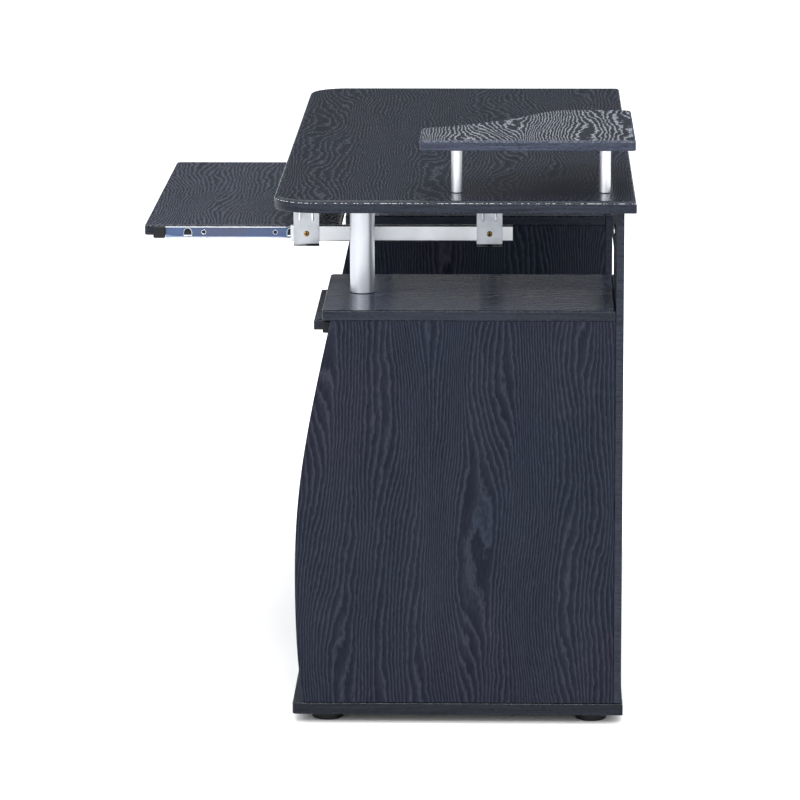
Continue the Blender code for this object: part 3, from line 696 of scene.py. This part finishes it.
def pedestal(side, number):
    side_panel(f"{side}_outer_side_panel", 4 + number)
    side_panel(f"{side}_inner_side_panel", 6 + number)
    node = f"{side}_pedestal_top"
    # Painted reflection: tone 3.6 lifts this top's colour far above the other boards' to stand in for the
    # reflections it catches under the desktop.
    grain = oak("oak_" + node, "y", 8 + number, tone=3.6, contrast=1.0, gloss=0.12, shine=0.23, relief=0.5,
                ring_scale=0.6, lines=(TOP_BLUE, TOP_GREY))
    outline = front_rounded(node, SMALL_CORNER, 8)
    board(node, outline, "XY", grain, band_tone=0.8, high_edge=PEDESTAL_EDGE, glint=0.12)
    node = f"{side}_base_board"
    grain = oak("oak_" + node, "y", 10 + number, tone=1.8, contrast=0.6, ring_scale=0.7)
    outline = front_rounded(node, SMALL_CORNER, 8)
    board(node, outline, "XY", grain, band_tone=0.6, high_edge=PEDESTAL_EDGE, glint=0.25)
    back_board(side, 12 + number)


def back_board(side, seed):
    """It has a cable notch, open to the knee space, just above the pedestal's top."""
    node = f"{side}_back_board"
    low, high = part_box(node)
    inner, outer = (low.x, high.x) if side == "right" else (high.x, low.x)
    notch = inner + math.copysign(NOTCH_WIDTH, outer - inner)
    notch_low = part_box(f"{side}_pedestal_top")[1].z
    notch_high = notch_low + NOTCH_HEIGHT
    outline = [(inner, low.z), (outer, low.z), (outer, high.z), (inner, high.z), (inner, notch_high),
               (notch, notch_high), (notch, notch_low), (inner, notch_low)]
    board(node, outline, "XZ", oak("oak_" + node, "z_back", seed))


def plain_boards():
    low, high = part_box("right_fixed_shelf")
    outline = rectangle((low.x, low.y), (high.x, high.y))
    board("right_fixed_shelf", outline, "XY", oak("oak_fixed_shelf", "x", 14))
    low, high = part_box("modesty_panel")
    outline = rectangle((low.x, low.z), (high.x, high.z))
    board("modesty_panel", outline, "XZ", oak("oak_modesty", "x_back", 15))
    low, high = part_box("pull_out_board")
    outline = rectangle((low.x, low.y), (high.x, high.y))
    # Painted sheen: tone 4.0 brightens this board to stand in for the grazing reflection on its top.
    grain = oak("oak_pull_out", "x", 16, tone=4.0)
    board("pull_out_board", outline, "XY", grain, band_tone=0.8, high_edge=PEDESTAL_EDGE, glint=0.3)


# ---------------------------------------------------------------- tubes, glides and cam locks


def standing_round(node):
    """The centre of an upright round node's foot, its radius and its height."""
    low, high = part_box(node)
    centre = Vector(((low.x + high.x) / 2, (low.y + high.y) / 2, low.z))
    return centre, (high.x - low.x) / 2, high.z - low.z


def upright(node, wall, material):
    """A column or a post: a round bar, or a tube where wall is given."""
    centre, radius, length = standing_round(node)
    rim = radius - TUBE_CHAMFER
    near_rim = radius - TUBE_CHAMFER * 0.3
    profile = [(rim, 0), (near_rim, TUBE_CHAMFER * 0.3), (radius, TUBE_CHAMFER)]
    profile += [(radius, length - TUBE_CHAMFER), (near_rim, length - TUBE_CHAMFER * 0.3), (rim, length)]
    if wall:
        profile += [(radius - wall, length), (radius - wall, 0)]
    else:
        profile = [(0, 0), *profile, (0, length)]
    piece = new_piece(node + "_finished", turned(profile, centre, UP, 72), material)
    weight_normals(piece)
    stand_for(piece, node)


def glide(node):
    """A low plastic foot with a round rim and a neck, hollowed a little underneath."""
    centre, radius, height = standing_round(node)
    profile = [(0, 0.0006), (radius - 0.006, 0.0006), (radius - 0.005, 0), (radius - 0.0015, 0),
               (radius - 0.0004, 0.0005), (radius, 0.0015), (radius, height - 0.0042),
               (radius - 0.0006, height - 0.0030), (radius - 0.0022, height - 0.0022),
               (radius - 0.0025, height - 0.0010), (radius - 0.0025, height), (0, height)]
    piece = new_piece(node + "_finished", turned(profile, centre, UP, 64), BLACK)
    weight_normals(piece)
    stand_for(piece, node)


def cross_cutter(name, centre, axis, length, width, depth):
    """A cross of two thin blocks, for the recess of a screw or a cam lock; the recess walls take their black
    as painted shade.
    """
    across = across_to(axis)
    other = axis.cross(across)
    tools = []
    for number, (along, aside) in enumerate(((across, other), (other, across))):
        form = bmesh.new()
        bmesh.ops.create_cube(form, size=1.0)
        matrix = Matrix((along * length, aside * width, axis * depth)).transposed().to_4x4()
        matrix.translation = centre
        bmesh.ops.transform(form, matrix=matrix, verts=form.verts)
        # Painted shade: the cutters' black passes to the recess walls.
        tools.append(new_piece(f"{name}_recess_{number}", form, BLACK))
    return tools


def cam_lock(node):
    """A round zinc cam with a cross recess in its dished face."""
    low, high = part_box(node)
    radius = (high.x - low.x) / 2
    height = high.y - low.y
    axis = Vector((0, -1, 0))
    centre = Vector(((low.x + high.x) / 2, high.y, (low.z + high.z) / 2))
    profile = [(0, 0), (radius, 0), (radius, height - 0.0009), (radius - 0.0003, height - 0.0003),
               (radius - 0.0009, height), (radius - 0.0022, height), (radius - 0.0026, height - 0.0004),
               (0, height - 0.0004)]
    piece = new_piece(node + "_finished", turned(profile, centre, axis, 48), ZINC)
    tools = cross_cutter(node, centre + axis * height, axis, radius * 1.1, 0.0014, 0.0032)
    combine(piece, tools, "DIFFERENCE")
    weight_normals(piece)
    stand_for(piece, node)


# ---------------------------------------------------------------- tray brackets and slides


def strip_outline(path, thickness):
    """The outline of a sheet-metal strip whose middle follows the path."""
    left, right = [], []
    for number, point in enumerate(path):
        before = Vector(path[max(number - 1, 0)])
        after = Vector(path[min(number + 1, len(path) - 1)])
        along = (after - before).normalized()
        normal = Vector((-along.y, along.x)) * (thickness / 2)
        here = Vector(point)
        left.append(tuple(here + normal))
        right.append(tuple(here - normal))
    return left + right[::-1]


def round_hole(name, centre, axis, radius):
    """A round cutter that stands past both faces of a sheet."""
    profile = [(0, -CUTTER_REACH), (radius, -CUTTER_REACH), (radius, CUTTER_REACH), (0, CUTTER_REACH)]
    return new_piece(name, turned(profile, centre, axis, 32), ZINC)


def rib(name, foot, length):
    """A round rib with a domed lower tip."""
    angles = [math.radians(angle) for angle in (20, 45, 70, 90)]
    dome = [(RIB_RADIUS * math.sin(angle), RIB_RADIUS * (1 - math.cos(angle))) for angle in angles]
    profile = [(0, 0), *dome, (RIB_RADIUS, length), (0, length)]
    # The rib's pale zinc is a painted highlight.
    return new_piece(name, turned(profile, foot, UP, 24), RIB_HIGHLIGHT_ZINC)


def tray_bracket(node, sign, screw_node):
    """A bent zinc strip with two pressed ribs across its upper bend and a lip curled under the rail."""
    low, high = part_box(node)
    plate = BRACKET_PLATE + BRACKET_SHEET / 2
    top = high.z - BRACKET_SHEET / 2
    bottom = low.z + BRACKET_SHEET / 2
    middle = (low.y + high.y) / 2
    path = [(max(abs(low.x), abs(high.x)), top)]
    path += arc((plate + BRACKET_TOP_BEND, top - BRACKET_TOP_BEND), BRACKET_TOP_BEND, 90, 180, 8)
    path += arc((plate - BRACKET_LIP_BEND, bottom + BRACKET_LIP_BEND), BRACKET_LIP_BEND, 0, -90, 12)
    path.append((plate - BRACKET_LIP_REACH, bottom))
    outline = [(sign * x, z) for x, z in strip_outline(path, BRACKET_SHEET)]
    form, _ = prism(outline, "XZ", low.y, high.y)
    piece = new_piece(node + "_finished", form, BRACKET_ZINC)
    ribs = []
    for number, offset in enumerate((-RIB_OFFSET, RIB_OFFSET)):
        foot = Vector((sign * (plate + BRACKET_SHEET / 2 - RIB_SUNK), middle + offset, RIB_BOTTOM))
        ribs.append(rib(f"{node}_rib_{number}", foot, top - RIB_BOTTOM))
    combine(piece, ribs, "UNION")
    screw_low, screw_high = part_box(screw_node)
    spot = Vector((sign * plate, middle, (screw_low.z + screw_high.z) / 2))
    hole = round_hole(node + "_hole", spot, Vector((sign, 0, 0)), BRACKET_HOLE_RADIUS)
    combine(piece, [hole], "DIFFERENCE")
    weight_normals(piece)
    stand_for(piece, node)
    for number, offset in enumerate((-WOOD_SCREW_OFFSET, WOOD_SCREW_OFFSET)):
        spot = Vector((sign * (plate + WOOD_SCREW_BEYOND_PLATE), middle + offset, top - BRACKET_SHEET / 2))
        name = f"{node}_wood_screw_{number}"
        screw = pan_screw(name, spot, -UP, WOOD_SCREW_RADIUS, WOOD_SCREW_HEIGHT, ZINC)
        add_part(screw, "desk")


def pan_screw(name, seat, axis, radius, height, material, shank=0.0):
    """A pan head with a cross recess, standing on its seat, with a shank behind it where one is given."""
    profile = [(0, 0)]
    if shank:
        profile = [(0, -shank), (SHANK_RADIUS, -shank), (SHANK_RADIUS, 0)]
    profile.append((radius * 0.94, 0))
    profile += [(radius, height * 0.12), (radius, height * 0.35)]
    for angle in (15, 30, 45, 60, 75):
        out = radius * (0.35 + 0.65 * math.cos(math.radians(angle)))
        profile.append((out, height * (0.35 + 0.65 * math.sin(math.radians(angle)))))
    profile.append((0, height))
    piece = new_piece(name, turned(profile, seat, axis, 32), material)
    tools = cross_cutter(name, seat + axis * height * 0.95, axis, 1.1 * radius, radius * 0.26, height)
    combine(piece, tools, "DIFFERENCE")
    weight_normals(piece)
    return piece


def bracket_screw(node, sign):
    low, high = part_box(node)
    seat = Vector((sign * BRACKET_SCREW_SEAT, (low.y + high.y) / 2, (low.z + high.z) / 2))
    shank = BRACKET_SCREW_SEAT - min(abs(low.x), abs(high.x))
    head = max(abs(low.x), abs(high.x)) - BRACKET_SCREW_SEAT
    radius = (high.y - low.y) / 2
    piece = pan_screw(node + "_finished", seat, Vector((sign, 0, 0)), radius, head, BRASS, shank)
    stand_for(piece, node)


def channel(web, opening, half, wall, middle, bend):
    """Outline of a rail's section in X and Z, with round outer bends."""
    side = math.copysign(1.0, opening - web)
    inside = web + side * wall
    corner = web + side * bend
    low_turn, high_turn = ((180, 270), (90, 180)) if side > 0 else ((0, -90), (90, 0))
    outline = arc((corner, middle - half + bend), bend, *low_turn, 5)
    outline += [(opening, middle - half), (opening, middle - half + wall), (inside, middle - half + wall)]
    outline += [(inside, middle + half - wall), (opening, middle + half - wall), (opening, middle + half)]
    outline += arc((corner, middle + half - bend), bend, *high_turn, 5)
    return outline


def outer_rail(node, web, opening, screws):
    """The fixed rail, with a hole for each bracket screw."""
    low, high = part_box(node)
    outline = channel(web, opening, (high.z - low.z) / 2, RAIL_WALL, (low.z + high.z) / 2, OUTER_RAIL_BEND)
    form, _ = prism(outline, "XZ", low.y, high.y)
    piece = new_piece(node + "_finished", form, ZINC)
    holes = []
    for number, spot in enumerate(screws):
        centre = Vector((web, spot.y, spot.z))
        holes.append(round_hole(f"{node}_hole_{number}", centre, Vector((1, 0, 0)), RAIL_SCREW_HOLE_RADIUS))
    if holes:
        combine(piece, holes, "DIFFERENCE")
    weight_normals(piece)
    stand_for(piece, node)


def d_outline(along, height, radius, grow=0.0):
    """A round-topped hole with a flat bottom, or the outline that far outside it."""
    flat = height - radius - grow
    reach = radius + grow
    return [*arc((along, height), reach, 0, 180, 20), (along - reach, flat), (along + reach, flat)]


def round_outline(along, height, radius, grow=0.0):
    return arc((along, height), radius + grow, 0, 360, 32)[:-1]


def hole_cutter(name, outline, web):
    form, _ = prism(outline, "YZ", web - CUTTER_REACH, web + CUTTER_REACH)
    return new_piece(name, form, BLUE_ZINC)


def inner_rail(node, web, opening):
    """The sliding rail, with its D holes and screw holes and their bright rims."""
    low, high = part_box(node)
    middle = (low.z + high.z) / 2
    side = math.copysign(1.0, opening - web)
    rim_faces = sorted((web + side * RAIL_WALL, web + side * (RAIL_WALL + RIM_HEIGHT)))
    outline = channel(web, opening, (high.z - low.z) / 2, RAIL_WALL, middle, INNER_RAIL_BEND)
    form, _ = prism(outline, "XZ", low.y, high.y)
    piece = new_piece(node + "_finished", form, BLUE_ZINC)
    holes = [(d_outline, along, D_HOLE_RADIUS) for along in D_HOLE_PLACES]
    holes += [(round_outline, along, SCREW_HOLE_RADIUS) for along in SCREW_HOLE_PLACES]
    cutters = []
    for number, (shape, along, radius) in enumerate(holes):
        centre = (low.y + along, middle)
        form, _ = prism(shape(*centre, radius, RIM_WIDTH), "YZ", *rim_faces)
        rim = new_piece(f"{node}_rim_{number}", form, STEEL)
        hole_outline = shape(*centre, radius)
        rim_cutter = hole_cutter(f"{node}_hole_{number}_rim", hole_outline, web)
        cutters.append(hole_cutter(f"{node}_hole_{number}_rail", hole_outline, web))
        combine(rim, [rim_cutter], "DIFFERENCE")
        add_part(rim, frame["nodes"][node]["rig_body"])
    combine(piece, cutters, "DIFFERENCE")
    weight_normals(piece)
    stand_for(piece, node)


def rail_cap(node):
    low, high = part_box(node)
    outline = rectangle((low.y, low.z), (high.y, high.z))
    form, width = rounded_prism(outline, "YZ", low.x, high.x, CAP_EDGE, CAP_EDGE, CAP_CORNER)
    piece = new_piece(node + "_finished", form, BLACK)
    round_and_weight(piece, width, 4)
    stand_for(piece, node)


def ball_retainer(node, web, opening):
    """The strip, and a row of steel balls standing out of each flange."""
    low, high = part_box(node)
    middle = (low.z + high.z) / 2
    outline = channel(web, opening, (high.z - low.z) / 2, RETAINER_WALL, middle, RETAINER_BEND)
    form, _ = prism(outline, "XZ", low.y, high.y)
    piece = new_piece(node + "_finished", form, ZINC)
    weight_normals(piece)
    stand_for(piece, node)
    form = bmesh.new()
    row = opening - math.copysign(1.0, opening - web) * BALL_INSET
    for step in range(BALLS_IN_ROW):
        along = low.y + BALL_START + BALL_STEP * step
        for up in (-1, 1):
            place = Matrix.Translation((row, along, middle + up * BALL_LEVEL))
            bmesh.ops.create_icosphere(form, subdivisions=2, radius=BALL_RADIUS, matrix=place)
    balls = new_piece(node + "_balls", form, STEEL)
    add_part(balls, frame["nodes"][node]["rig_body"])


def web_and_opening(node, outwards, web_outside):
    """The X of a channel's web and of its open side. Its web is outermost where web_outside is true."""
    low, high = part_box(node)
    web_high = (outwards > 0) == web_outside
    return (high.x, low.x) if web_high else (low.x, high.x)


def slide(names, screws=()):
    """One ball slide from the names of its outer rail, inner rail, cap and retainer nodes."""
    outer, inner, cap, retainer = names
    outer_low, outer_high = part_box(outer)
    inner_low, inner_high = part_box(inner)
    outwards = math.copysign(1.0, (outer_low.x + outer_high.x) - (inner_low.x + inner_high.x))
    outer_rail(outer, *web_and_opening(outer, outwards, True), screws)
    inner_rail(inner, *web_and_opening(inner, outwards, False))
    rail_cap(cap)
    ball_retainer(retainer, *web_and_opening(retainer, outwards, True))


def tray_hardware(side, sign):
    screws = []
    for place in ("front", "rear"):
        screw = f"{side}_{place}_bracket_screw"
        tray_bracket(f"{side}_{place}_tray_bracket", sign, screw)
        bracket_screw(screw, sign)
        low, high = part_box(screw)
        screws.append((low + high) / 2)
    parts = ("outer_rail", "inner_rail", "rail_cap", "ball_retainer")
    slide([f"{side}_tray_{part}" for part in parts], screws)


# ---------------------------------------------------------------- studio


def studio_floor():
    form = bmesh.new()
    bmesh.ops.create_grid(form, x_segments=1, y_segments=1, size=40.0)
    material, graph, shader = new_material("pale_floor")
    place = graph.node("ShaderNodeTexCoord").outputs["Object"]
    cloudy = graph.noise(graph.scaled(place, (0.5, 0.5, 0.5)), 2.0)
    pale = graph.mix(cloudy, (0.93, 0.93, 0.93, 1.0), (0.95, 0.95, 0.95, 1.0))
    graph.set(shader.inputs["Base Color"], pale)
    shader.inputs["Roughness"].default_value = 1.0
    shader.inputs["Specular IOR Level"].default_value = 0.0
    new_piece("studio_floor", form, material)


def studio_world():
    """Soft light from above and from the near side, dark below the horizon."""
    world = bpy.data.worlds.new("studio_light")
    bpy.context.scene.world = world
    world.use_nodes = True
    graph = Graph(world.node_tree)
    direction = graph.node("ShaderNodeTexCoord").outputs["Generated"]
    parts = graph.node("ShaderNodeSeparateXYZ", {"Vector": direction}).outputs
    level = graph.math("MULTIPLY_ADD", parts["X"], 0.35, parts["Z"])
    stops = [(0.0, 0.03), (0.22, (0.054, 0.060, 0.070)), (0.42, (0.56, 0.60, 0.66)), (0.90, 1.0)]
    glow = graph.ramp(graph.math("ADD", level, 0.30), stops)
    background = world.node_tree.nodes["Background"]
    graph.set(background.inputs["Color"], glow)
    background.inputs["Strength"].default_value = 1.8


def area_light(name, place, target, size, power):
    light = bpy.data.lights.new(name, "AREA")
    light.shape = "RECTANGLE"
    light.size = size[0]
    light.size_y = size[1]
    light.energy = power
    lamp = bpy.data.objects.new(name, light)
    bpy.context.scene.collection.objects.link(lamp)
    lamp.location = place
    lamp.rotation_euler = (Vector(target) - Vector(place)).to_track_quat("-Z", "Y").to_euler()


def camera():
    data = bpy.data.cameras.new("camera")
    data.lens = CAMERA_LENS
    data.sensor_width = 36.0
    data.clip_end = 200.0
    eye = bpy.data.objects.new("camera", data)
    bpy.context.scene.collection.objects.link(eye)
    level = math.cos(CAMERA_PITCH)
    forward = Vector((-level * math.cos(CAMERA_YAW), level * math.sin(CAMERA_YAW), -math.sin(CAMERA_PITCH)))
    right = forward.cross(UP).normalized()
    up = right.cross(forward)
    rolled_right = right * math.cos(CAMERA_ROLL) + up * math.sin(CAMERA_ROLL)
    rolled_up = up * math.cos(CAMERA_ROLL) - right * math.sin(CAMERA_ROLL)
    turn = Matrix((rolled_right, rolled_up, -forward)).transposed().to_4x4()
    eye.matrix_world = Matrix.Translation(CAMERA_PLACE) @ turn
    bpy.context.scene.camera = eye
    bpy.context.scene.view_settings.view_transform = "Standard"


camera()
studio_floor()
studio_world()
area_light("overhead_softbox", (0.3, 0.0, 3.4), (0.0, 0.1, 0.6), (2.6, 2.6), 60)
area_light("near_strip", (3.6, 0.1, 2.6), (0.6, 0.1, 0.78), (1.5, 0.35), 40)
area_light("front_fill", (5.0, -3.0, 2.6), (0.3, 0.0, 0.5), (3.6, 3.6), 78)

desktop()
keyboard_tray()
raised_shelf()
for seed_step, (side_name, side_sign) in enumerate(SIDES.items()):
    pedestal(side_name, seed_step)
    upright(f"{side_name}_column", COLUMN_WALL, SILVER)
    tray_hardware(side_name, side_sign)
    for part_name in ("outer_cam_lock", "inner_cam_lock"):
        cam_lock(f"{side_name}_{part_name}")
    for row_name in ("front", "rear"):
        for place_name in ("outer", "inner"):
            glide(f"{side_name}_{row_name}_{place_name}_glide")
plain_boards()
for place_name in ("front", "rear", "inner_rear"):
    upright(f"shelf_post_{place_name}", 0, POLISHED)
PULL_OUT_PARTS = ("fixed_rail", "sliding_rail", "rail_cap", "ball_retainer")
for place_name in ("outer", "inner"):
    slide([f"pull_out_{place_name}_{part}" for part in PULL_OUT_PARTS])
